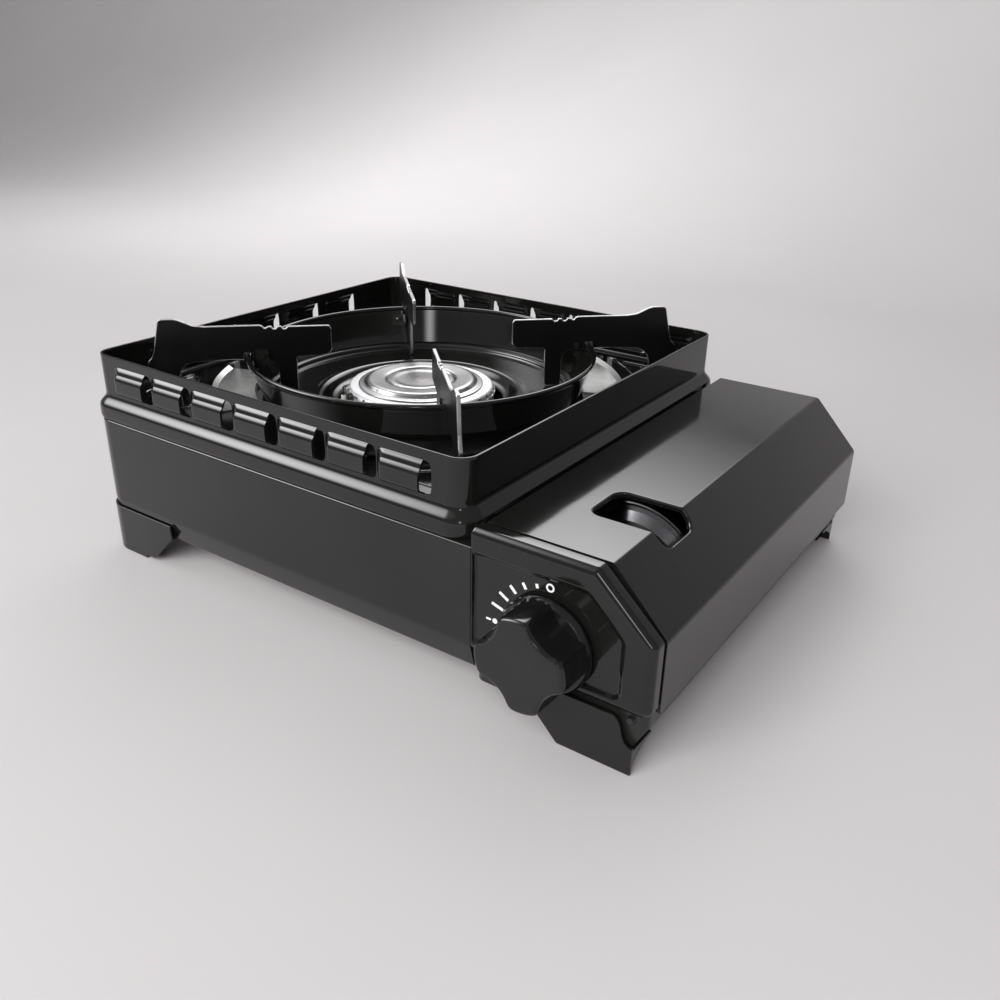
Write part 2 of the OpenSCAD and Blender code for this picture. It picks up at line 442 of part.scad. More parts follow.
module blade_clips() color(dark) for (a=[45,135,225,315]) at_pan() rotate([0,0,a]) {
  translate([0,2.08,0]) rotate([90,0,0]) linear_extrude(1) polygon([[84.5,106],[84.5,111],[91.4,111],[91.4,105],[90.6,100.4],[88,100.4]]);
  rotate([0,0,0.72]) rotate_extrude(angle=5.6,$fn=120) polygon([[91.0,98],[93.35,105],[92.35,105],[90.0,98]]);
}
module blade_rivets() color(dark) for (a=[45,135,225,315]) at_pan() {
  rotate([0,0,a+4]) translate([0,0,101.4]) rotate([0,90,0]) { translate([0,0,90.2]) cylinder(r1=1.2,r2=1.9,h=1,$fn=24); translate([0,0,91]) cylinder(r=1,h=3,$fn=24); translate([0,0,93.5]) cylinder(r=1.8,h=0.9,$fn=24); }
  rotate([0,0,a]) translate([88,3,108]) rotate([90,0,0]) { cylinder(r=1,h=5,$fn=24); cylinder(r=1.7,h=0.9,$fn=24); translate([0,0,4.05]) cylinder(r=1.7,h=0.9,$fn=24); }
}

body_shell();
bottom_plate();
partition_wall();
bay_base();
front_bezel();
control_panel();
dial_marks();
foot_front_left();
foot_front_right();
foot_rear_left();
foot_rear_right();
case_screws();
windbreak_tray();
stay_plates();
drip_bowl();
burner_base();
burner_ports();
burner_cap();
burner_dish();
burner_bracket();
mixing_tube();
air_shutter();
jet_nozzle();
gas_pipe();
electrode_body();
electrode_tip();
electrode_bracket();
ignition_lead();
regulator_body();
regulator_cover();
inlet_gland();
magnet_holder();
magnets();
pressure_pin();
knob();
knob_spindle();
spindle_cam();
panel_bush();
igniter_body();
igniter_plunger();
heat_panel();
cartridge_cradle();
cartridge_can();
cartridge_dome();
cartridge_base();
cartridge_collar();
cartridge_valve();
lid_shell();
lid_hinge_arms();
hinge_brackets();
hinge_pins();
lid_catch();
support_ring();
blade_front_left();
blade_front_right();
blade_rear_left();
blade_rear_right();
blade_clips();
blade_rivets();
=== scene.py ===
import bpy, bmesh, json, math
from mathutils import Vector, Matrix
from mathutils.geometry import delaunay_2d_cdt


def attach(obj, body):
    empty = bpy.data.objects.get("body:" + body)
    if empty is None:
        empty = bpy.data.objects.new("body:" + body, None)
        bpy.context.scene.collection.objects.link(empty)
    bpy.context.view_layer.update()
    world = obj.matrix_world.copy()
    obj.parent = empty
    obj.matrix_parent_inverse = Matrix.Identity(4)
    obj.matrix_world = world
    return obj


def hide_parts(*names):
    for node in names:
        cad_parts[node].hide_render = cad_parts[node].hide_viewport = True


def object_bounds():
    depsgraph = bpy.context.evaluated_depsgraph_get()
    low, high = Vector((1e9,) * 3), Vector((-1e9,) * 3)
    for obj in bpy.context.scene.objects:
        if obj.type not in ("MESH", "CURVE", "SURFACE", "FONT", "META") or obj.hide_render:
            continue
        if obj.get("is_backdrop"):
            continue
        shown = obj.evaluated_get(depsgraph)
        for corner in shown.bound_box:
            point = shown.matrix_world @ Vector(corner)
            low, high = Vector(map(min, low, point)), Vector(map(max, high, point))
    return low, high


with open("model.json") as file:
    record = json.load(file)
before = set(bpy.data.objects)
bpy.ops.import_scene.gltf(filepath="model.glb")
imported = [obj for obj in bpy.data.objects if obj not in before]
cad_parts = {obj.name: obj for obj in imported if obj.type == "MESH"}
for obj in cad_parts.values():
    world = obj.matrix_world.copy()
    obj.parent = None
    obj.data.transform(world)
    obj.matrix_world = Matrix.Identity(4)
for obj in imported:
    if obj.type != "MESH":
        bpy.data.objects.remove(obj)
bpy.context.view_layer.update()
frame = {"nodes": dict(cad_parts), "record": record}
NODES = frame["nodes"]
BODY_OF = {n: b for b, ns in frame["record"]["behaviour"]["bodies"].items() for n in ns}
MM = 0.001
TCX, TCY = -43.25, 10.6          # burner axis, mm
KX, KZ = 123.2, 46.4             # knob and spindle axis, mm
PX, PY = TCX + 1.4, TCY + 0.9    # middle of the loose pan support
RIM_Z = 112.4

# ------------------------------------------------------------------ materials
def _tree(name):
    m = bpy.data.materials.new(name); m.use_nodes = True
    nt = m.node_tree; b = nt.nodes["Principled BSDF"]
    tc = nt.nodes.new("ShaderNodeTexCoord")
    return m, nt, b, tc.outputs["Object"]

def _noise(nt, vec, scale, detail=3.0, rough=0.55, stretch=None):
    n = nt.nodes.new("ShaderNodeTexNoise")
    n.inputs["Scale"].default_value = scale
    n.inputs["Detail"].default_value = detail
    n.inputs["Roughness"].default_value = rough
    if stretch:
        mp = nt.nodes.new("ShaderNodeMapping"); mp.inputs["Scale"].default_value = stretch
        nt.links.new(vec, mp.inputs["Vector"]); vec = mp.outputs["Vector"]
    nt.links.new(vec, n.inputs["Vector"])
    return n.outputs["Fac"]

def _ramp(nt, fac, stops):
    r = nt.nodes.new("ShaderNodeValToRGB"); e = r.color_ramp.elements
    while len(e) < len(stops): e.new(0.5)
    for el, (p, c) in zip(e, stops):
        el.position = p; el.color = (c[0], c[1], c[2], 1) if hasattr(c, "__len__") else (c, c, c, 1)
    nt.links.new(fac, r.inputs["Fac"])
    return r.outputs["Color"]

def _range(nt, fac, a, b, lo=0.3, hi=0.7):
    m = nt.nodes.new("ShaderNodeMapRange")
    m.inputs["From Min"].default_value = lo; m.inputs["From Max"].default_value = hi
    m.inputs["To Min"].default_value = a; m.inputs["To Max"].default_value = b
    nt.links.new(fac, m.inputs["Value"])
    return m.outputs["Result"]

def _bump(nt, b, layers):
    prev = None
    for h, dist in layers:
        n = nt.nodes.new("ShaderNodeBump"); n.inputs["Strength"].default_value = 1.0
        n.inputs["Distance"].default_value = dist
        nt.links.new(h, n.inputs["Height"])
        if prev: nt.links.new(prev, n.inputs["Normal"])
        prev = n.outputs["Normal"]
    nt.links.new(prev, b.inputs["Normal"])

def _mixc(nt, fac, a, b):
    m = nt.nodes.new("ShaderNodeMix"); m.data_type = "RGBA"
    nt.links.new(fac, m.inputs["Factor"])
    for s, v in ((6, a), (7, b)):
        if hasattr(v, "is_linked"): nt.links.new(v, m.inputs[s])
        else: m.inputs[s].default_value = (*v, 1)
    return m.outputs[2]

def paint(name, dark, light, r0, r1, peel=0.000012, wear=(0.021, 0.0205, 0.02), scale=30):
    """Sprayed or baked paint: cloudy tone, orange peel, thinner and paler on edges."""
    m, nt, b, v = _tree(name)
    big, mid, fine = _noise(nt, v, scale, 4), _noise(nt, v, 420, 2), _noise(nt, v, 2600, 2)
    col = _ramp(nt, big, [(0.3, dark), (0.7, light)])
    geo = nt.nodes.new("ShaderNodeNewGeometry")
    edge = _range(nt, geo.outputs["Pointiness"], 0, 0.55, 0.53, 0.62)
    scuff = nt.nodes.new("ShaderNodeMath"); scuff.operation = "MULTIPLY"
    nt.links.new(edge, scuff.inputs[0]); nt.links.new(_range(nt, mid, 0.2, 1.0), scuff.inputs[1])
    nt.links.new(_mixc(nt, scuff.outputs[0], col, wear), b.inputs["Base Color"])
    nt.links.new(_range(nt, big, r0, r1), b.inputs["Roughness"])
    _bump(nt, b, [(mid, peel), (fine, peel * 0.12)])
    return m

def metal(name, dark, light, r0, r1, brush=(1, 1, 1), scale=500, bump=0.000006, tint=None):
    """Bare metal: directional grain, stains and uneven polish."""
    m, nt, b, v = _tree(name)
    b.inputs["Metallic"].default_value = 1.0
    grain, cloud = _noise(nt, v, scale, 4, 0.65, brush), _noise(nt, v, 45, 4)
    col = _ramp(nt, grain, [(0.25, dark), (0.75, light)])
    if tint: col = _mixc(nt, _range(nt, cloud, 0, 0.6, 0.5, 0.75), col, tint)
    nt.links.new(col, b.inputs["Base Color"])
    add = nt.nodes.new("ShaderNodeMath"); add.operation = "ADD"
    nt.links.new(_range(nt, grain, r0 * 0.5, r1 * 0.5), add.inputs[0])
    nt.links.new(_range(nt, cloud, r0 * 0.5, r1 * 0.5), add.inputs[1])
    nt.links.new(add.outputs[0], b.inputs["Roughness"])
    _bump(nt, b, [(grain, bump)])
    return m

def solid(name, dark, light, r0, r1, scale=300, bump=0.00002):
    m, nt, b, v = _tree(name)
    cloud, fine = _noise(nt, v, 60, 4), _noise(nt, v, scale, 3)
    nt.links.new(_ramp(nt, cloud, [(0.3, dark), (0.7, light)]), b.inputs["Base Color"])
    nt.links.new(_range(nt, fine, r0, r1), b.inputs["Roughness"])
    _bump(nt, b, [(fine, bump)])
    return m

MAT = {
 "enamel_black": paint("enamel_black", (0.0055, 0.0055, 0.005), (0.008, 0.008, 0.0074), 0.075, 0.105, 0.000003),
 "satin_black": paint("satin_black", (0.012, 0.012, 0.0115), (0.017, 0.017, 0.016), 0.26, 0.36, 0.00001),
 "blade_black": paint("blade_black", (0.0025, 0.0025, 0.0024), (0.004, 0.004, 0.0038), 0.34, 0.42, 0.000004, (0.004, 0.004, 0.0038)),
 # bright bare metal on the blade edges: a painted highlight standing in for the light caught along the blade tops
 "blade_edge_highlight": metal("blade_edge_highlight", (0.50, 0.50, 0.50), (0.62, 0.62, 0.61), 0.26, 0.34, (1, 1, 1), 90, 0.000001),
 "panel_gloss": paint("panel_gloss", (0.007, 0.007, 0.0066), (0.0095, 0.0095, 0.009), 0.07, 0.10, 0.000004),
 "knob_plastic": solid("knob_plastic", (0.006, 0.006, 0.006), (0.009, 0.009, 0.009), 0.08, 0.13, 500, 0.000006),
 "knob_face": solid("knob_face", (0.0085, 0.0085, 0.0083), (0.0115, 0.0115, 0.0112), 0.40, 0.50, 2200, 0.00002),
 "print_white": solid("print_white", (0.86, 0.86, 0.85), (0.93, 0.93, 0.92), 0.45, 0.6, 900, 0.00001),
 "stainless": metal("stainless", (0.45, 0.445, 0.44), (0.5, 0.495, 0.49), 0.21, 0.27, (1, 1, 1), 70, 0.0000002),
 "cap_steel": metal("cap_steel", (0.33, 0.325, 0.33), (0.37, 0.365, 0.37), 0.22, 0.28, (1, 1, 1), 70, 0.0000002),
 "plated_steel": metal("plated_steel", (0.42, 0.42, 0.43), (0.58, 0.58, 0.57), 0.28, 0.46, (1, 1, 1), 260, 0.00001, (0.5, 0.47, 0.38)),
 "cast_alu": metal("cast_alu", (0.42, 0.42, 0.43), (0.6, 0.6, 0.61), 0.38, 0.56, (1, 1, 1), 700, 0.00006),
 "rolled_alu": metal("rolled_alu", (0.68, 0.69, 0.7), (0.8, 0.8, 0.81), 0.26, 0.4, (1, 22, 1)),
 "brass": metal("brass", (0.62, 0.44, 0.17), (0.78, 0.6, 0.28), 0.2, 0.36, (1, 1, 1), 400, 0.000008, (0.4, 0.26, 0.1)),
 "ceramic": solid("ceramic", (0.76, 0.73, 0.67), (0.86, 0.84, 0.79), 0.3, 0.44),
 "rubber": solid("rubber", (0.016, 0.016, 0.016), (0.026, 0.026, 0.026), 0.6, 0.76, 900, 0.00005),
 "lead_red": solid("lead_red", (0.34, 0.03, 0.025), (0.44, 0.05, 0.04), 0.4, 0.52),
 # tin plate darkened to near black: painted shade for the dark inside of the cartridge bay, where the real can is
 # bright tin
 "tinplate": metal("tinplate", (0.17, 0.17, 0.175), (0.23, 0.23, 0.235), 0.20, 0.30, (1, 14, 1), 300, 0.000002),
 "magnet": solid("magnet", (0.06, 0.06, 0.065), (0.1, 0.1, 0.105), 0.5, 0.66, 800, 0.00006),
 "igniter_white": solid("igniter_white", (0.66, 0.65, 0.61), (0.76, 0.75, 0.71), 0.4, 0.52),
}
MAT["blade_black"].node_tree.nodes["Principled BSDF"].inputs["Specular IOR Level"].default_value = 0.22
SLOT_OF = {s["node"]: s["material_slot"] for s in frame["record"]["subparts"]}
for n, o in NODES.items():
    o.data.materials.clear(); o.data.materials.append(MAT[SLOT_OF[n]])
    for p in o.data.polygons: p.material_index = 0

# ------------------------------------------------------------------ mesh tools (all in mm)
def piece(name, verts, faces, node, mat=None, nodes=None, angle=32, merge=2e-6, facemat=None, extra=None):
    me = bpy.data.meshes.new(name)
    me.from_pydata([(x * MM, y * MM, z * MM) for x, y, z in verts], [], faces)
    if facemat:
        for p in me.polygons: p.material_index = facemat[p.index]
    bm = bmesh.new(); bm.from_mesh(me)
    bmesh.ops.remove_doubles(bm, verts=bm.verts, dist=merge)
    bmesh.ops.dissolve_degenerate(bm, dist=1e-7, edges=bm.edges)
    bmesh.ops.recalc_face_normals(bm, faces=bm.faces)
    bm.to_mesh(me); bm.free()
    me.shade_smooth(); me.set_sharp_from_angle(angle=math.radians(angle))
    o = bpy.data.objects.new(name, me); bpy.context.scene.collection.objects.link(o)
    me.materials.append(MAT[mat or SLOT_OF[node]])
    for x in extra or (): me.materials.append(MAT[x])
    w = o.modifiers.new("weighted", "WEIGHTED_NORMAL"); w.keep_sharp = True; w.weight = 50
    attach(o, BODY_OF[node]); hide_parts(*(nodes or [node]))
    return o

class Mesh:
    def __init__(self): self.v, self.f, self.m = [], [], []
    def add(self, verts, faces, mat=0):
        k = len(self.v); self.v += [tuple(p) for p in verts]
        self.f += [tuple(i + k for i in f) for f in faces]; self.m += [mat] * len(faces)
    def grid(self, rings, closed_u=True, closed_v=False, mat=0, skip=None):
        n, m = len(rings[0]), len(rings); faces = []
        for j in range(m if closed_v else m - 1):
            for i in range(n if closed_u else n - 1):
                if skip and skip(j, i): continue
                a, b = j * n + i, j * n + (i + 1) % n
                c, d = ((j + 1) % m) * n + (i + 1) % n, ((j + 1) % m) * n + i
                faces.append((a, b, c, d))
        self.add([p for r in rings for p in r], faces, mat)
    def build(self, name, node, **k):
        return piece(name, self.v, self.f, node, facemat=self.m if any(self.m) else None, **k)

def smooth_line(pts, n=6):
    """Catmull-Rom through the points, n steps a span."""
    out = []
    for i in range(len(pts) - 1):
        p0, p1 = pts[max(i - 1, 0)], pts[i]; p2, p3 = pts[i + 1], pts[min(i + 2, len(pts) - 1)]
        for k in range(n):
            t = k / n
            out.append(tuple(0.5 * (2 * b + (c - a) * t + (2 * a - 5 * b + 4 * c - d) * t * t + (3 * b - a - 3 * c + d) * t ** 3)
                             for a, b, c, d in zip(p0, p1, p2, p3)))
    out.append(tuple(pts[-1])); return out

def round_poly(pts, r, seg=5, closed=True):
    """Fillet each corner with radius r, or the largest that its edges allow. An entry (x, y, r) sets its own radius."""
    out, n = [], len(pts)
    for i, p in enumerate(pts):
        rad = p[2] if len(p) > 2 else r
        if (not closed and i in (0, n - 1)) or rad <= 0: out.append((p[0], p[1])); continue
        a, b, c = Vector(pts[i - 1][:2]), Vector(p[:2]), Vector(pts[(i + 1) % n][:2])
        u, v = (a - b), (c - b); lu, lv = u.length, v.length; u /= lu; v /= lv
        ang = math.acos(max(-1, min(1, u.dot(v))))
        if ang > math.radians(179): out.append((b.x, b.y)); continue
        t = min(rad / math.tan(ang / 2), lu * 0.48, lv * 0.48); rr = t * math.tan(ang / 2)
        cen = b + (u + v).normalized() * (rr / math.sin(ang / 2))
        s, e = b + u * t - cen, b + v * t - cen
        a0, a1 = math.atan2(s.y, s.x), math.atan2(e.y, e.x); d = (a1 - a0 + math.pi) % (2 * math.pi) - math.pi
        out += [(cen.x + rr * math.cos(a0 + d * k / seg), cen.y + rr * math.sin(a0 + d * k / seg)) for k in range(seg + 1)]
    return out

def area2(p): return sum(p[i - 1][0] * p[i][1] - p[i][0] * p[i - 1][1] for i in range(len(p))) / 2
def ccw(p): return list(p) if area2(p) > 0 else list(p)[::-1]
def inset(p, d):
    """Loop moved to its left by d at each vertex (inwards for a counter-clockwise loop)."""
    out, n = [], len(p)
    for i in range(n):
        a, b, c = Vector(p[i - 1]), Vector(p[i]), Vector(p[(i + 1) % n])
        u, v = (b - a), (c - b)
        if u.length < 1e-9 or v.length < 1e-9: u = v = (c - a)
        u.normalize(); v.normalize(); nn = Vector((-u.y - v.y, u.x + v.x))
        if nn.length < 1e-6: out.append(tuple(b)); continue
        nn.normalize(); k = max(0.5, nn.dot(Vector((-u.y, u.x))))
        out.append(tuple(b + nn * d / k))
    return out
def inside(p, poly):
    x, y = p; r = False
    for i in range(len(poly)):
        (x1, y1), (x2, y2) = poly[i - 1], poly[i]
        if (y1 > y) != (y2 > y) and x < (x2 - x1) * (y - y1) / (y2 - y1) + x1: r = not r
    return r
def fill(outer, holes, lines=()):
    """Triangles of the region, with extra constraint segments. Returns points and faces."""
    pts, edges = [], []
    for loop in [outer, *holes]:
        k = len(pts); pts += [Vector(p) for p in loop]
        edges += [(k + i, k + (i + 1) % len(loop)) for i in range(len(loop))]
    for a, b in lines:
        k = len(pts); pts += [Vector(a), Vector(b)]; edges.append((k, k + 1))
    v, _, f, *_ = delaunay_2d_cdt(pts, edges, [], 0, 1e-5)
    keep = []
    for t in f:
        c = (sum(v[i].x for i in t) / len(t), sum(v[i].y for i in t) / len(t))
        if inside(c, outer) and not any(inside(c, h) for h in holes): keep.append(tuple(t))
    return [tuple(p) for p in v], keep

def plate(mesh, outer, holes, t, bev, at, mat=0, seg=3, edge=None):
    """Flat plate with rounded edges. at(x, y, depth) places a point; depth runs 0..t through the sheet."""
    rim = mat if edge is None else edge
    loops = [ccw(outer)] + [ccw(h)[::-1] for h in holes]
    bev = min(bev, t * 0.49)
    prof = [(bev * (1 - math.sin(math.pi / 2 * k / seg)), bev * (1 - math.cos(math.pi / 2 * k / seg))) for k in range(seg + 1)]
    steps = prof + [(i, t - d) for i, d in prof[::-1]]
    for L in loops:
        mesh.grid([[at(x, y, d) for x, y in inset(L, i)] for i, d in steps], True, False, rim)
    caps = [inset(L, bev) for L in loops]
    p, f = fill(caps[0], caps[1:])
    mesh.add([at(x, y, 0) for x, y in p], f, mat); mesh.add([at(x, y, t) for x, y in p], [q[::-1] for q in f], mat)

def lathe(mesh, prof, cx, cy, n=160, axis="z", mat=0, a0=0.0, a1=360.0):
    """Solid of revolution of a closed (r, h) profile."""
    full = abs(a1 - a0) >= 359.99; m = n if full else n + 1; rings = []
    for k in range(m):
        a = math.radians(a0 + (a1 - a0) * k / n); c, s = math.cos(a), math.sin(a)
        rings.append([(cx + r * c, cy + r * s, h) if axis == "z" else (cx + r * c, h, cy + r * s) for r, h in prof])
    mesh.grid(rings, True, full, mat)
    if not full:
        for r in (rings[0], rings[-1]): mesh.add(r, [tuple(range(len(r)))], mat)

def tube(mesh, path, r, n=14, mat=0, cap=True):
    rings = []; up = None
    P = [Vector(p) for p in path]
    for i, p in enumerate(P):
        d = ((P[min(i + 1, len(P) - 1)] - P[max(i - 1, 0)])).normalized()
        if up is None: up = d.orthogonal().normalized()
        up = (up - d * up.dot(d)).normalized(); w = d.cross(up)
        rings.append([tuple(p + (up * math.cos(2 * math.pi * k / n) + w * math.sin(2 * math.pi * k / n)) * r) for k in range(n)])
    mesh.grid(rings, True, False, mat)
    if cap:
        for q in (rings[0], rings[-1]): mesh.add(q, [tuple(range(n))], mat)

def rr_stations(x0, x1, y0, y1, r, marks, seg=14):
    """Stations round a rounded rectangle, anticlockwise from the +X side. marks[side] is a list of (s, weight, flags,
    height scale) in travel order along that straight. Flags: 1 leaves the louvre band open up to the next station, 2 closes the
    sheet's cut edge here, 4 closes it above and below up to the next station."""
    out = []
    def straight(p, d, nrm, L, ms):
        ss = [(L * k / 6, 0.0, 0, 1.0) for k in range(7)]
        if ms:
            lo, hi = ms[0][0], ms[-1][0]
            ss = [q for q in ss if q[0] < lo - 0.5 or q[0] > hi + 0.5] + list(ms)
            ss.sort(key=lambda q: q[0])
        for s, w, st, hs in ss: out.append((p[0] + d[0] * s, p[1] + d[1] * s, nrm[0], nrm[1], w, st, hs))
    def corner(cx, cy, a):
        for k in range(1, seg):
            t = math.radians(a + 90 * k / seg); out.append((cx + r * math.cos(t), cy + r * math.sin(t), math.cos(t), math.sin(t), 0.0, 0, 1.0))
    Lx, Ly = x1 - x0 - 2 * r, y1 - y0 - 2 * r
    straight((x1, y0 + r), (0, 1), (1, 0), Ly, marks.get("right")); corner(x1 - r, y1 - r, 0)
    straight((x1 - r, y1), (-1, 0), (0, 1), Lx, marks.get("back")); corner(x0 + r, y1 - r, 90)
    straight((x0, y1 - r), (0, -1), (-1, 0), Ly, marks.get("left")); corner(x0 + r, y0 + r, 180)
    straight((x0 + r, y0), (1, 0), (0, -1), Lx, marks.get("front")); corner(x1 - r, y0 + r, 270)
    return out

# ------------------------------------------------------------------ windbreak
TX0, TX1, TY0, TY1, TR = TCX - 122.5, TCX + 122.5, TCY - 122.5, TCY + 122.5, 9.0
HOOD = smooth_line([(107.6, 0), (107.35, 0.22), (106.95, 0.75), (106.45, 1.25), (105.85, 1.66), (105.2, 1.92), (104.6, 2.08), (104.2, 2.3), (103.8, 2.66), (103.3, 3.08),
                    (102.65, 3.5), (101.8, 3.82), (100.8, 3.98), (98.5, 4.02), (95.9, 3.98), (94.8, 3.75), (94.0, 3.1), (93.2, 1.8), (92.6, 0.7), (92.0, 0)], 3)
HOOD_C = 99.8
def hood_d(z):
    for (z0, d0), (z1, d1) in zip(HOOD, HOOD[1:]):
        if z1 <= z <= z0: return d0 + (d1 - d0) * (z0 - z) / (z0 - z1)
    return 0.0
def taper(a, b, lo, open_first):
    """Louvre marks between a < b in travel order: full height at its open end, eased down at the closed one, with the
    wall's slot running on past the open end by lo and closing in a rounded end."""
    ease = [(0.0, 0.0), (0.5, 0.05), (1.1, 0.2), (1.8, 0.42), (2.6, 0.66), (3.4, 0.84), (4.2, 0.95), (5.2, 1.0)]
    slot = [(0.0, 1.0), (0.35, 0.99), (0.62, 0.95), (0.82, 0.85), (0.95, 0.66), (1.0, 0.42)]
    if open_first:
        out = [(a - lo - 0.35, 0.0, 0, 1.0)] + [(a - lo * t, 0.0, 7 if t == 1.0 else (5 if t > 0 else 1), h) for t, h in slot[::-1]]
        return out + [(a, 1.0, 2, 1.0), ((a + b) / 2, 1.0, 0, 1.0)] + [(b - d, w, 0, 1.0) for d, w in ease[::-1]]
    out = [(a + d, w, 0, 1.0) for d, w in ease] + [((a + b) / 2, 1.0, 0, 1.0), (b, 1.0, 3, 1.0)]
    return out + [(b + lo * t, 0.0, 2 if t == 1.0 else 5, h) for t, h in slot] + [(b + lo + 0.35, 0.0, 0, 1.0)]
marks = {"front": [], "back": [], "left": []}
for i in range(7):
    e = -123.6 + 30.15 * i; marks["front"] += taper(e - 25.2 - (TX0 + TR), e - (TX0 + TR), 4.3, False)
for i in reversed(range(7)):
    e = -135.8 + 29.6 * i; marks["back"] += taper((TX1 - TR) - (e + 25.2), (TX1 - TR) - e, 2.2, False)
for i in reversed(range(5)):
    e = -52.0 + 34.7 * i; marks["left"] += taper((TY1 - TR) - e, (TY1 - TR) - (e - 26.5), 2.0, True)
ST = rr_stations(TX0, TX1, TY0, TY1, TR, marks)
zs_out = [z for z, _ in HOOD]
outer = [(-0.35, RIM_Z), (-0.12, RIM_Z - 0.1), (0, RIM_Z - 0.35), (0, 110.6), (0, 108.4)]
outer = [(d, z, 0) for d, z in outer] + [(0, z, 1) for z in zs_out] + [(d, z, 0) for d, z in
        smooth_line([(0, 91.7), (0.03, 91.0), (0.14, 90.3), (0.38, 89.6), (0.78, 88.9), (1.34, 88.2), (2.0, 87.5), (2.6, 86.9), (3.14, 86.3), (3.56, 85.7), (3.9, 85.0), (4.1, 84.2), (4.2, 83.2), (4.22, 82.0)], 3)
        + [(4.24, 80.6), (4.2, 79.2), (4.02, 78.3), (3.78, 77.85), (3.45, 77.62)]]
under = [(3.05, 77.62), (2.9, 77.9), (2.95, 83.4), (2.6, 84.6), (1.9, 85.7), (1.0, 86.5), (-0.2, 87.0), (-1.6, 87.3), (-3.2, 87.4)]
under = [(d, z, 0) for d, z in under]
fil = [(-3.2 + 2.0 * math.sin(math.radians(a)), 90.6 - 2.0 * math.cos(math.radians(a)), 0) for a in range(0, 91, 15)]
inner = fil + [(-1.2, z, 1) for z in reversed(zs_out)] + [(-1.2, 108.4, 0), (-1.2, 110.6, 0), (-1.2, RIM_Z - 0.35, 0), (-1.08, RIM_Z - 0.1, 0), (-0.85, RIM_Z, 0)]
FL = [1.0, 0.8, 0.6, 0.4, 0.2, 0.04, 0.0]       # floor, wall end to hole edge
def tray_ring(s):
    x, y, nx, ny, w, st, hs = s; ring = []
    ex, ey = x - 3.2 * nx, y - 3.2 * ny
    a = math.atan2(ey - TCY, ex - TCX); hx, hy = TCX + 91 * math.cos(a), TCY + 91 * math.sin(a)
    def fl(t, z): return (hx + (ex - hx) * t, hy + (ey - hy) * t, z)
    for t in FL[::-1][:-1]: ring.append(fl(t, 88.6 if t > 0.02 else 88.35))
    for d, z, band in inner + outer + under:
        k = d + (hood_d(z) * w if band else 0)
        ring.append((x + k * nx, y + k * ny, HOOD_C + (z - HOOD_C) * hs if band else z))
    for t in FL[1:]: ring.append(fl(t, 87.4 if t > 0.02 else 87.65))
    return ring
n_in = len(FL) - 1
band = [i for i, p in enumerate(inner + outer + under) if p[2]]
band = {n_in + i for i in band}
rings = [tray_ring(s) for s in ST]
def skip(j, i): return bool(ST[j][5] & 1) and i in band and (i + 1) in band
tm = Mesh(); tm.grid(rings, True, True, 0, skip)
in_b = sorted(i for i in band if i < n_in + len(inner)); out_b = sorted(i for i in band if i >= n_in + len(inner))
for j, s in enumerate(ST):
    R, Q = rings[j], rings[(j + 1) % len(ST)]
    if s[5] & 2:
        pair = list(zip(in_b, reversed(out_b)))
        for (a, b), (c, d) in zip(pair, pair[1:]): tm.add([R[a], R[b], R[d], R[c]], [(0, 1, 2, 3)])
    if s[5] & 4:
        for a, b in ((out_b[0], in_b[-1]), (out_b[-1], in_b[0])): tm.add([R[a], Q[a], Q[b], R[b]], [(0, 1, 2, 3)])
# low rounded ridges pressed into the floor's corners
for sx, sy in ((1, 1), (1, -1), (-1, 1), (-1, -1)):
    cx, cy = TCX + sx * 122.5, TCY + sy * 122.5
    tri = [(-58, -13.5), (-14, -13.5), (-14, -58), (-24, -43), (-43, -24)]
    loop = round_poly([(p[0], p[1]) for p in tri], 7, 8)
    prof = [(-1.6, -0.25), (-1.25, 0.02), (-0.9, 0.22), (-0.45, 0.42), (0, 0.5), (0.45, 0.42), (0.9, 0.22), (1.25, 0.02), (1.6, -0.25)]
    L = ccw(loop); rr = []
    for d, h in prof: rr.append([(cx + sx * x, cy + sy * y, 88.6 + h) for x, y in inset(L, d)])
    tm.grid(rr + [rr[0]], True, False)
tm.build("windbreak_sheet", "windbreak_tray", angle=40)

# ------------------------------------------------------------------ housing
BX0, BX1, BY0, BY1, BR = -169.7, 84.95, -116.2, 137.4, 15.0
def body_section():
    top = [(-14, 77.35), (-1.1, 77.4)] + [(-1.1 + 1.1 * math.sin(math.radians(a)), 76.3 + 1.1 * math.cos(math.radians(a))) for a in (15, 30, 45, 60, 75, 90)]
    side = [(0, 60), (0, 45), (0, 31.6), (-0.03, 30.9), (-0.12, 30.1), (-0.3, 29.0), (-1.6, 24.0), (-3.1, 18.6), (-3.35, 17.85), (-3.9, 17.5), (-4.6, 17.4)]
    back = [(-10, 17.4), (-10, 18.4), (-4.7, 18.4), (-4.35, 18.8), (-2.85, 24.2), (-1.5, 29.3), (-1.25, 30.6), (-1.2, 31.8), (-1.2, 60), (-1.2, 75.2), (-1.6, 76.0), (-2.4, 76.2), (-14, 76.15)]
    return top + side + back
sec = body_section(); bm_ = Mesh(); stn = []
def put(x, y, nx, ny): stn.append([(x + d * nx, y + d * ny, z) for d, z in sec])
for k in range(7): put(BX1 - (BX1 - BX0 - BR) * k / 6, BY1, 0, 1)
for k in range(1, 16): a = math.radians(90 + 6 * k); put(BX0 + BR + BR * math.cos(a), BY1 - BR + BR * math.sin(a), math.cos(a), math.sin(a)) if k < 15 else None
for k in range(7): put(BX0, BY1 - BR - (BY1 - BY0 - 2 * BR) * k / 6, -1, 0)
for k in range(1, 15): a = math.radians(180 + 6 * k); put(BX0 + BR + BR * math.cos(a), BY0 + BR + BR * math.sin(a), math.cos(a), math.sin(a))
for k in range(7): put(BX0 + BR + (BX1 - BX0 - BR) * k / 6, BY0, 0, -1)
bm_.grid(stn, True, False)
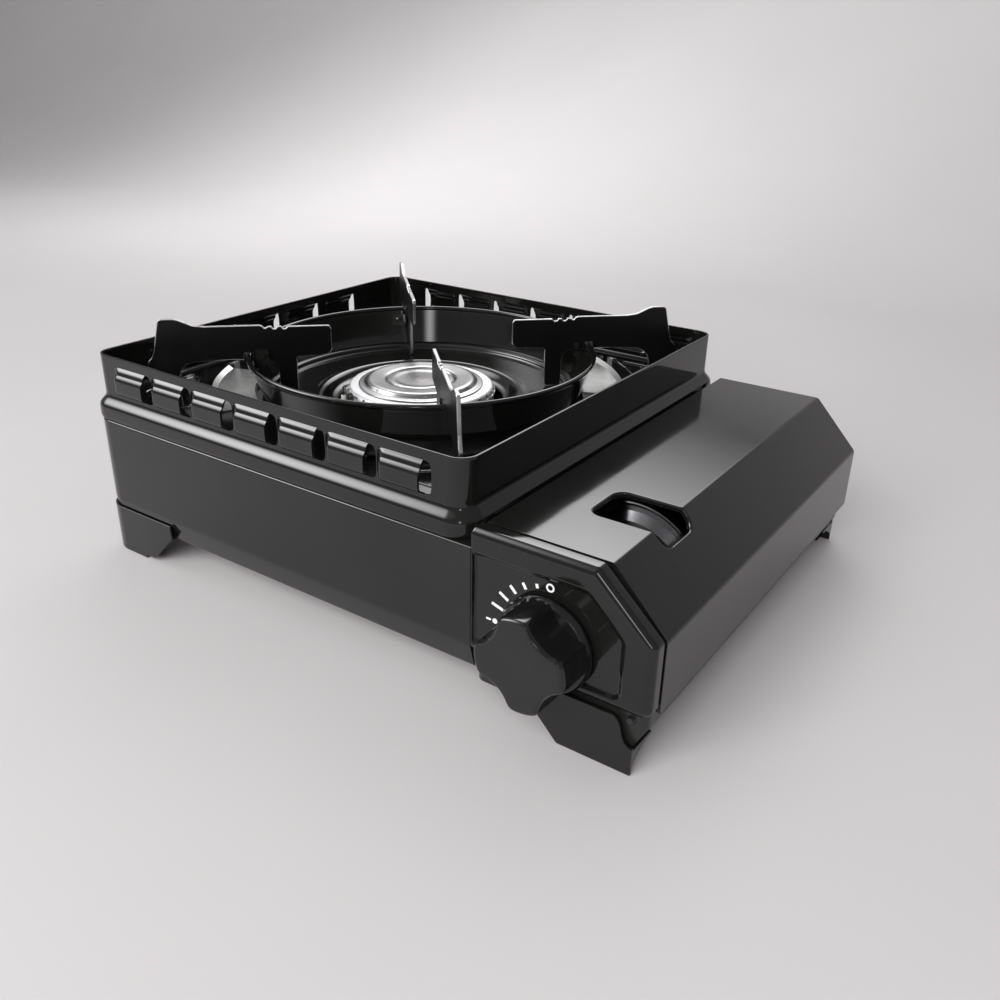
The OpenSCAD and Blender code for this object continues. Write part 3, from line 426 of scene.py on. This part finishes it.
for r in (stn[0], stn[-1]):
    p, f = fill(ccw([(d, z) for d, z in sec]), [])
    x, nyy = r[0][0], (1 if r is stn[0] else -1); yb = BY1 if r is stn[0] else BY0
    bm_.add([(x, yb + d * nyy, z) for d, z in p], f)
bm_.build("housing_sheet", "body_shell", angle=40)

# ------------------------------------------------------------------ lid
LID = round_poly([(86.8, 86.2), (145.72, 86.2, 3.2), (170.5, 60.03, 3.2), (170.5, 27.0)], 0, 8, closed=False)
cum = [0.0]
for a, b in zip(LID, LID[1:]): cum.append(cum[-1] + math.dist(a, b))
def lid_at(u, y, depth):
    u = max(0.0, min(cum[-1], u)); k = max(i for i, c in enumerate(cum[:-1]) if c <= u + 1e-9)
    a, b = Vector(LID[k]), Vector(LID[k + 1]); t = (u - cum[k]) / (cum[k + 1] - cum[k])
    def nrm(i):
        p, q = Vector(LID[max(i - 1, 0)]), Vector(LID[min(i + 1, len(LID) - 1)]); d = (q - p).normalized(); return Vector((-d.y, d.x))
    n = (nrm(k) * (1 - t) + nrm(k + 1) * t).normalized(); p = a + (b - a) * t - n * depth
    return (p.x, y, p.y)
def u_of_x(x):
    for k in range(len(LID) - 1):
        if LID[k][0] <= x <= LID[k + 1][0] and LID[k + 1][0] > LID[k][0]: return cum[k] + (x - LID[k][0]) / (LID[k + 1][0] - LID[k][0]) * (cum[k + 1] - cum[k])
    return cum[-1]
BENDS = [cum[i] for i in range(1, len(cum) - 1)]
def rrect(x0, x1, y0, y1, r, n=9):
    return [(cx + r * math.cos(math.radians(a)), cy + r * math.sin(math.radians(a))) for cx, cy, s in
            ((x1 - r, y1 - r, 0), (x0 + r, y1 - r, 90), (x0 + r, y0 + r, 180), (x1 - r, y0 + r, 270)) for a in [s + 90 * k / n for k in range(n + 1)]]
def with_bends(loop):
    out = []
    for i in range(len(loop)):
        a, b = loop[i], loop[(i + 1) % len(loop)]; out.append(a)
        cut = sorted(((c - a[0]) / (b[0] - a[0]) for c in BENDS if (a[0] - c) * (b[0] - c) < -1e-9)) if abs(a[0] - b[0]) > 1e-9 else []
        out += [(a[0] + (b[0] - a[0]) * t, a[1] + (b[1] - a[1]) * t) for t in cut]
    return out
U0, U1, Y0, Y1 = 0.0, cum[-1], -106.9, 133.1
uy = [(U0, Y0), (U1, Y0), (U1, Y1), (U0, Y1)]
sx0, sx1 = u_of_x(115.3), u_of_x(152.3)
FR = 1.1
hole0 = with_bends(rrect(sx0, sx1, -74.2, -47.0, 6.0))
def hole(off): return [tuple(Vector(p) + Vector(q) * off) for p, q in zip(hole0, HN)]
HN = []
for i in range(len(hole0)):
    d = (Vector(hole0[(i + 1) % len(hole0)]) - Vector(hole0[i - 1])).normalized(); HN.append((d.y, -d.x))
lm = Mesh()
ob = with_bends(uy)
edge = [(0.3, 0.0), (0.12, 0.06), (0.03, 0.2), (0.0, 0.45), (0.0, 0.6), (0.1, 0.88), (0.3, 1.0)]
lm.grid([[lid_at(x, y, d) for x, y in inset(ob, i)] for i, d in edge], True, False)
flange = [(FR, 0.0), (FR * 0.62, 0.06), (FR * 0.29, 0.29), (FR * 0.06, 0.68), (0.0, 1.15), (0.0, 2.2), (0.12, 2.42), (0.38, 2.5), (0.68, 2.4), (0.8, 2.1), (0.8, 1.3), (FR, 1.0)]
lm.grid([[lid_at(x, y, d) for x, y in hole(o)] for o, d in flange], True, False)
for depth, flip in ((0.0, False), (1.0, True)):
    oi = inset(ob, 0.3); hi = hole(FR)
    p, f = fill(oi, [hi], [((c, Y0 + 0.3), (c, Y1 - 0.3)) for c in BENDS])
    lm.add([lid_at(x, y, depth) for x, y in p], [q[::-1] if flip else q for q in f])
# turned-in front edge and closed back
def lid_band(d0, d1, ya, yb):
    us = [0.3] + BENDS + [cum[-1] - 0.3]
    rings = [[lid_at(u, ya, d0), lid_at(u, yb, d0), lid_at(u, yb, d1), lid_at(u, ya, d1)] for u in us]
    lm.grid(rings, True, False)
    for r in (rings[0], rings[-1]): lm.add(r, [(0, 1, 2, 3)])
lid_band(0.9, 3.6, -106.75, -105.9)
bp = round_poly([(88.9, 85.9), (145.6, 85.9, 3), (170.2, 59.9, 3), (170.2, 27), (88.9, 27)], 0.5, 6)
plate(lm, bp, [], 0.95, 0.3, lambda x, z, d: (x, 133.05 - d, z))
lm.build("lid_sheet", "lid_shell", angle=34)

# ------------------------------------------------------------------ front bezel and dial panel
def panel(o, r=1.2):
    return [(85.2 + o, 28 + o, 1.0), (85.2 + o, 86.8 - o, 1.6), (143.4 - 0.414 * o, 86.8 - o, 3.0), (170.4 - o, 61.6 - 0.44 * o, 3.0), (170.4 - o, 28 + o, 4.6)]
bz = Mesh()
def loop_at(o, y):
    """The left edge has no rounding: it butts against the housing's front."""
    return [(x - 0.86 * o * max(0.0, 1 - (x - 85.2 - o) / 6), y, z) for x, z in ccw(round_poly([(p[0], p[1], max(p[2] - o * 0.5, 0.6)) for p in panel(o)], 1, 7))]
steps = [(1.2, -109.4), (0.15, -109.4), (0.0, -109.6), (0.0, -113.6), (0.12, -114.3), (0.5, -115.0), (1.25, -115.75), (2.1, -116.35), (2.9, -116.62), (3.5, -116.72)]
bz.grid([loop_at(o, y) for o, y in steps], True, False)
bz.grid([loop_at(1.2, -109.4), loop_at(1.2, -115.2)], True, False)
win = [(86.4, 33.4, 0.8), (86.4, 75.4, 1.5), (140.4, 75.4, 4), (156.6, 59.6, 4), (156.6, 33.4, 3.5)]
def win_at(o, y): return [(max(x, 85.95 + 0.3 * (o + 2.3)), y, z) for x, z in inset(ccw(round_poly(win, 2, 8)), o)]
ws = [(-2.3, -116.72), (-2.0, -116.82), (-1.5, -116.84), (-1.05, -116.72), (-0.55, -116.4), (0.0, -115.98), (0.35, -115.72), (0.7, -115.52), (1.1, -115.42)]
bz.grid([win_at(o, y) for o, y in ws], True, False)
bz.grid([win_at(1.1, -115.42), win_at(1.1, -115.2)], True, False)
fo = [(x, z) for x, y, z in loop_at(3.5, 0)]; fh = [(x, z) for x, y, z in win_at(-2.3, 0)]
p, f = fill(fo, [fh]); bz.add([(x, -116.72, z) for x, z in p], f)
bi = [(x, z) for x, y, z in loop_at(1.2, 0)]; hi2 = [(x, z) for x, y, z in win_at(1.1, 0)]
p, f = fill(bi, [hi2]); bz.add([(x, -115.2, z) for x, z in p], f)
bz.build("bezel_pressing", "front_bezel", angle=38)

pn = Mesh()
plate(pn, round_poly([(86.7, 33.7), (86.7, 75.1), (140.2, 75.1), (156.2, 59.5), (156.2, 33.7)], 2.2, 6),
      [[(KX + 6.5 * math.cos(math.radians(a)), KZ + 6.5 * math.sin(math.radians(a))) for a in range(0, 360, 8)]], 1.1, 0.25, lambda x, z, d: (x, -115.32 + d, z))
pn.build("dial_panel", "control_panel", mat="panel_gloss", angle=38)

# ------------------------------------------------------------------ knob
def knob_r(th):
    best = 21.4
    for i in range(4):
        ph = (th - math.radians(54 + 90 * i) + math.pi) % (2 * math.pi) - math.pi
        if abs(ph) < math.radians(45):
            c, R = 34.4, 18.0; q = R * R - (c * math.sin(ph)) ** 2
            if q > 0: best = min(best, c * math.cos(ph) - math.sqrt(q))
    return best
N = 288; raw = [knob_r(2 * math.pi * k / N) for k in range(N)]
ker = [math.exp(-(j / 3.2) ** 2) for j in range(-9, 10)]
kr = [sum(raw[(k + j - 9) % N] * ker[j] for j in range(19)) / sum(ker) for k in range(N)]
kr_s = [sum(kr[(k + j) % N] for j in range(-14, 15)) / 29 for k in range(N)]
def kring(y, off, mix=0.0, s=1.0):
    return [(KX + (kr[k] * (1 - mix) + kr_s[k] * mix - off) * s * math.cos(2 * math.pi * k / N), y, KZ + (kr[k] * (1 - mix) + kr_s[k] * mix - off) * s * math.sin(2 * math.pi * k / N)) for k in range(N)]
kn = Mesh()
side = [(-120.4, 0.0), (-121.2, 0.02), (-124, 0.1), (-128, 0.2), (-132, 0.3), (-135, 0.38), (-136.4, 0.42), (-137.0, 0.5)]
fr_ = [(-137.45, 0.66), (-137.85, 0.95), (-138.15, 1.35), (-138.35, 1.85), (-138.45, 2.4)]
kn.grid([kring(y, o) for y, o in side + fr_[:3]], True, False, 0)
kn.grid([kring(y, o) for y, o in fr_[2:]] + [kring(-138.48, 2.4, m, s) for m, s in ((0.3, 0.86), (0.7, 0.66), (1, 0.42), (1, 0.2))], True, False, 1)
kn.add(kring(-138.48, 2.4, 1, 0.2), [tuple(range(N))], 1)
kn.grid([kring(-120.4, 0.0), [(KX + 4.05 * math.cos(2 * math.pi * k / N), -120.4, KZ + 4.05 * math.sin(2 * math.pi * k / N)) for k in range(N)]], True, False, 0)
kn.grid([[(KX + 4.05 * math.cos(2 * math.pi * k / N), y, KZ + 4.05 * math.sin(2 * math.pi * k / N)) for k in range(N)] for y in (-120.4, -131)], True, False, 0)
kn.add([(KX + 4.05 * math.cos(2 * math.pi * k / N), -131, KZ + 4.05 * math.sin(2 * math.pi * k / N)) for k in range(N)], [tuple(range(N))], 0)
lathe(kn, [(4.05, -117.5), (21.2, -117.5), (21.5, -117.62), (21.6, -117.9), (21.6, -118.2), (21.4, -118.7), (20.9, -119.9), (20.6, -120.6), (20.2, -120.95), (19.6, -121.0), (4.05, -121.0)], KX, KZ, 160, "y")
kn.build("knob_moulding", "knob", mat="knob_plastic", extra=["knob_face"], angle=40)

# ------------------------------------------------------------------ pan support
BL = [(51.2, 123.3, 1.2), (50.3, 121.6, 1.6), (50.3, 110.2, 2.5), (51.3, 108.3, 2.5), (53.6, 107.3, 2.5), (69.5, 106.5, 1.2),
  (69.7, 86.2, 1.2), (70.4, 84.5, .8), (78.6, 84.5, .8), (79.5, 86.2, 1.2), (79.7, 99, 3), (80.4, 102.4, 3), (82.2, 104.6, 2), (85, 105.4, 2), (92.9, 105.4, .4), (92.9, 109.25, .3),
  (97.4, 109.25, .3), (97.4, 105.5, .5), (103, 105.9, 6), (124, 105.2, 5), (128, 104, 4), (131, 101, 4), (132.4, 97, 4), (132.8, 88.7, .5), (147, 88.7, .6), (147.8, 92, 2),
  (148, 105.6, 3), (145.4, 108.6, 3), (144, 112, 4), (141.6, 123, 6), (140.4, 128.2, 2.2), (138.6, 129, 2.2), (132.4, 129, 2.2), (130, 128.4, 3), (123, 125.2, 6), (117, 124.5, 6),
  (88.4, 124.5, 1.2), (86.8, 123.9, 1), (85.6, 122.4, 1.2), (84, 123.6, .8), (82.2, 123.7, .8), (81.2, 122.3, .8), (79.8, 122.3, .8), (78.7, 123.6, .6), (76.9, 123.6, .6), (75.9, 122.2, .8), (74.5, 122.2, .8), (73.4, 123.5, .8), (52.4, 123.5, .8)]
for nm, a in (("front_left", 225), ("front_right", 315), ("rear_left", 135), ("rear_right", 45)):
    c, s = math.cos(math.radians(a)), math.sin(math.radians(a)); b = Mesh()
    # the sheet's edges take the second material, the bright metal that paints the highlight along the blade tops
    plate(b, round_poly(BL, 0.5, 4), [], 2.0, 0.42, lambda r, z, d, c=c, s=s: (PX + r * c + (d - 1) * s, PY + r * s - (d - 1) * c, z), edge=1)
    b.build("blade_" + nm + "_sheet", "blade_" + nm, mat="blade_black", extra=["blade_edge_highlight"], angle=38)
rg = Mesh()
roll = [(95.1 + 1.4 * math.cos(math.radians(a)), 107.7 + 1.4 * math.sin(math.radians(a))) for a in range(-60, 241, 20)]
lathe(rg, [(87.6, 87.6), (87.75, 87.45), (88.5, 87.45), (88.65, 87.6), (90.2, 92), (92.6, 99), (94.6, 104.8), (95.3, 106.4)] + roll[1:] + [(94.3, 107.0), (93.6, 104.8), (91.6, 99), (89.2, 92)], PX, PY, 220)
rg.build("inner_windshield", "support_ring", angle=50)

# ------------------------------------------------------------------ bowl and burner
db = Mesh()
top = smooth_line([(100, 87.35), (92, 87.35), (86.2, 87.35), (84.4, 87.0), (83.3, 86.2), (82.5, 84.9), (81.4, 84.25), (78, 84.15), (70, 83.9), (62, 83.65), (59.6, 84.1), (57.8, 84.8), (55.8, 84.9), (54.0, 84.0), (52.2, 82.4), (50.4, 81.0), (48.4, 80.35), (46.8, 80.2)], 4)
bot = smooth_line([(46.6, 79.3), (48.4, 79.3), (50.8, 80.0), (52.8, 81.4), (54.6, 83.0), (56.0, 83.8), (57.6, 83.7), (59.4, 83.1), (62, 82.65), (70, 82.9), (78, 83.15), (81.6, 83.3), (83.4, 84.0), (84.2, 85.4), (85.4, 86.25), (87, 86.35), (100, 86.35)], 4)
lathe(db, top + [(46.5, 79.8)] + bot, TCX, TCY, 200)
db.build("drip_bowl_pressing", "drip_bowl", angle=50)
bc = Mesh()
cap = smooth_line([(35.2, 88.7), (35.1, 89.1), (34.4, 89.35), (32.4, 89.55), (31.5, 90.0), (30.9, 90.8), (30.2, 91.5), (29.2, 91.9), (27.8, 92.0), (24, 91.85), (21.0, 91.7), (19.7, 91.3), (18.9, 90.6), (18.5, 90.25)], 4)
lathe(bc, cap + [(0.02, 90.2), (0.02, 88.65), (35.0, 88.65)], TCX, TCY, 160)
bc.build("burner_cap_pressing", "burner_cap", mat="cap_steel", angle=45)
dish = Mesh()
lathe(dish, smooth_line([(18.15, 90.35), (18.1, 90.9), (17.4, 91.0), (15.8, 91.15), (13.8, 90.95), (11.6, 90.85), (4.6, 90.95), (3.2, 91.0), (0.02, 91.0)], 4) + [(0.02, 90.26), (18.0, 90.26)], TCX, TCY, 120)
dish.build("burner_dish_pressing", "burner_dish", mat="cap_steel", angle=45)
bpn = Mesh()
NP = 36; per = 14; rings = []
for k in range(NP * per):
    a = 2 * math.pi * k / (NP * per); ph = (k % per) / per
    g = max(0.0, 1 - abs(min(ph, 1 - ph)) / 0.16); g = g * g * (3 - 2 * g); c, s = math.cos(a), math.sin(a)
    prof = [(33, 84.1), (41.7, 84.1), (42.1, 84.4), (42.3, 84.9), (42.25 - 0.1 * g, 85.4), (42.0 - 4.2 * g, 85.75), (41.7 - 4.4 * g, 86.4), (41.45 - 4.1 * g, 87.0), (41.0, 87.55), (40.3, 88.1), (39.4, 88.5), (33, 88.5)]
    rings.append([(TCX + r * c, TCY + r * s, z) for r, z in prof])
bpn.grid(rings, True, True)
bpn.build("flame_port_ring", "burner_ports", angle=40)

# ------------------------------------------------------------------ folded and turned parts whose CAD outline stays: edges rounded, faces merged
def eased(node, width, seg=2, ang=24):
    src = NODES[node]; me = src.data.copy(); me.name = node + "_eased"
    b = bmesh.new(); b.from_mesh(me)
    bmesh.ops.remove_doubles(b, verts=b.verts, dist=2e-6)
    bmesh.ops.dissolve_limit(b, angle_limit=math.radians(0.6), verts=b.verts, edges=b.edges)
    b.to_mesh(me); b.free()
    o = bpy.data.objects.new(node + "_eased", me); bpy.context.scene.collection.objects.link(o)
    me.shade_smooth(); me.set_sharp_from_angle(angle=math.radians(60))
    bv = o.modifiers.new("edges", "BEVEL"); bv.width = width * MM; bv.segments = seg
    bv.limit_method = "ANGLE"; bv.angle_limit = math.radians(ang); bv.use_clamp_overlap = True; bv.harden_normals = False
    w = o.modifiers.new("weighted", "WEIGHTED_NORMAL"); w.keep_sharp = False; w.weight = 50
    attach(o, BODY_OF[node]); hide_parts(node)
    return o
for nd, w in (("foot_front_left", .35), ("foot_front_right", .35), ("foot_rear_left", .35), ("foot_rear_right", .35), ("bay_base", .3)):
    eased(nd, w)
for nd, o in NODES.items():
    if not o.hide_render: o.data.shade_smooth(); o.data.set_sharp_from_angle(angle=math.radians(30))

# ------------------------------------------------------------------ stage, light, camera
def stage_mesh(name, verts, faces):
    me = bpy.data.meshes.new(name); me.from_pydata(verts, [], faces); me.shade_smooth()
    o = bpy.data.objects.new(name, me); bpy.context.scene.collection.objects.link(o); o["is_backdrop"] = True; return o
line = [(-3.2, 0.0), (-1.0, 0.0), (0.0, 0.0), (0.75, 0.0)] + [(0.75 + 1.1 * math.sin(math.radians(a)), 1.1 - 1.1 * math.cos(math.radians(a))) for a in range(3, 91, 3)] + [(1.85, 2.8)]
vs = [(x, y, z) for y, z in line for x in (-4.5, -2.2, -1, 0, 1, 2.2, 4.0)]
sweep = stage_mesh("sweep", vs, [(i * 7 + j, i * 7 + j + 1, (i + 1) * 7 + j + 1, (i + 1) * 7 + j) for i in range(len(line) - 1) for j in range(6)])
m, nt, b, v = _tree("sweep_paper")
nt.links.new(_ramp(nt, _noise(nt, v, 3, 3), [(0.3, (0.60, 0.585, 0.588)), (0.7, (0.63, 0.612, 0.615))]), b.inputs["Base Color"])
b.inputs["Roughness"].default_value = 0.75
sweep.data.materials.append(m)

def glow_panel(name, loc, target, sx, sy, peak, base, back, full=0.85):
    """Diffuser lit from behind: brightest in the middle, fading to its edges, dimmer on the side away from the target."""
    z = (Vector(target) - Vector(loc)).normalized(); x = Vector((0, 0, 1)).cross(z).normalized(); y = z.cross(x)
    o = stage_mesh(name, [(a * sx / 2, c * sy / 2, 0) for a, c in ((-1, -1), (1, -1), (1, 1), (-1, 1))], [(0, 1, 2, 3)])
    M = Matrix.Identity(4)
    for i in range(3): M[i][0], M[i][1], M[i][2], M[i][3] = x[i], y[i], z[i], loc[i]
    o.matrix_world = M
    m = bpy.data.materials.new(name + "_mat"); m.use_nodes = True; nt = m.node_tree; nt.nodes.clear()
    tc = nt.nodes.new("ShaderNodeTexCoord"); mp = nt.nodes.new("ShaderNodeMapping"); mp.inputs["Scale"].default_value = (2 / sx, 2 / sy, 1)
    g = nt.nodes.new("ShaderNodeTexGradient"); g.gradient_type = "SPHERICAL"
    nt.links.new(tc.outputs["Object"], mp.inputs["Vector"]); nt.links.new(mp.outputs["Vector"], g.inputs["Vector"])
    r = nt.nodes.new("ShaderNodeMapRange"); r.interpolation_type = "SMOOTHSTEP"
    r.inputs["From Min"].default_value = 0.0; r.inputs["From Max"].default_value = full
    r.inputs["To Min"].default_value = base; r.inputs["To Max"].default_value = peak
    nt.links.new(g.outputs["Fac"], r.inputs["Value"])
    geo = nt.nodes.new("ShaderNodeNewGeometry"); k = nt.nodes.new("ShaderNodeMapRange")
    k.inputs["To Min"].default_value = 1.0; k.inputs["To Max"].default_value = back
    nt.links.new(geo.outputs["Backfacing"], k.inputs["Value"])
    mul = nt.nodes.new("ShaderNodeMath"); mul.operation = "MULTIPLY"
    nt.links.new(r.outputs["Result"], mul.inputs[0]); nt.links.new(k.outputs["Result"], mul.inputs[1])
    e = nt.nodes.new("ShaderNodeEmission"); out = nt.nodes.new("ShaderNodeOutputMaterial")
    nt.links.new(mul.outputs[0], e.inputs["Strength"]); nt.links.new(e.outputs[0], out.inputs["Surface"])
    o.data.materials.append(m); return o

def area(name, loc, target, sx, sy, watts, color=(1, 1, 1)):
    L = bpy.data.lights.new(name, "AREA"); L.shape = "RECTANGLE"; L.size = sx; L.size_y = sy; L.energy = watts; L.color = color
    o = bpy.data.objects.new(name, L); bpy.context.scene.collection.objects.link(o); o.location = loc
    o.rotation_mode = "QUATERNION"; o.rotation_quaternion = (Vector(target) - Vector(loc)).to_track_quat("-Z", "Y"); return o
def only_gloss(o):
    """Seen in reflections only: it neither lights the floor nor shades it."""
    o.visible_diffuse = False; o.visible_shadow = False; o.visible_camera = False; return o
only_gloss(glow_panel("diffuser_back", (-0.62, 1.12, 1.28), (0.05, 0.0, 0.05), 2.2, 1.7, 6.6, 0.30, 0.3))
only_gloss(glow_panel("strip_left", (-1.42, -0.72, 1.32), (0.0, -0.1, 0.09), 2.4, 1.9, 12.0, 0.3, 0.1, 1.0))
only_gloss(glow_panel("strip_right", (1.0, -1.55, 0.85), (0.15, -0.1, 0.07), 0.36, 1.1, 8.0, 0.28, 0.28, 1.0))
area("soft_top", (-0.75, -0.6, 1.75), (0, 0, 0), 1.9, 1.7, 4, (1.0, 0.985, 0.98))
area("fill_front", (0.1, -2.0, 1.3), (0.0, -0.3, 0.0), 2.4, 1.5, 68, (1.0, 0.99, 0.99)).visible_glossy = False
area("key_back", (-0.58, 1.05, 1.22), (0.05, 0.0, 0.05), 2.0, 1.5, 4).visible_glossy = False
bg = area("backdrop_glow", (-0.82, 0.5, 1.1), (-0.92, 1.0, 0.0), 0.4, 0.4, 1.8, (1.0, 0.995, 1.0)); bg.data.spread = math.radians(80); bg.visible_glossy = False
w = bpy.data.worlds.new("studio"); bpy.context.scene.world = w; w.use_nodes = True
w.node_tree.nodes["Background"].inputs["Color"].default_value = (0.93, 0.92, 0.94, 1)
w.node_tree.nodes["Background"].inputs["Strength"].default_value = 0.30

yaw, pitch, roll_ = math.radians(34.2), math.radians(-25.23), math.radians(1.23)
fwd = Vector((-math.sin(yaw) * math.cos(pitch), math.cos(yaw) * math.cos(pitch), math.sin(pitch)))
right = Vector((math.cos(yaw), math.sin(yaw), 0)); up = right.cross(fwd)
r_ = right * math.cos(roll_) + up * math.sin(roll_); u_ = -right * math.sin(roll_) + up * math.cos(roll_)
cam = bpy.data.objects.new("camera", bpy.data.cameras.new("camera")); bpy.context.scene.collection.objects.link(cam)
cam.data.sensor_width = 36; cam.data.lens = 957.14 * 36 / 1000; cam.data.clip_start = 0.01; cam.data.clip_end = 50
M = Matrix.Identity(4)
for i in range(3): M[i][0], M[i][1], M[i][2] = r_[i], u_[i], -fwd[i]
M[0][3], M[1][3], M[2][3] = 0.28783, -0.39408, 0.26109
cam.matrix_world = M; bpy.context.scene.camera = cam
bpy.context.scene.view_settings.view_transform = "Standard"

lo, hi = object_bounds()
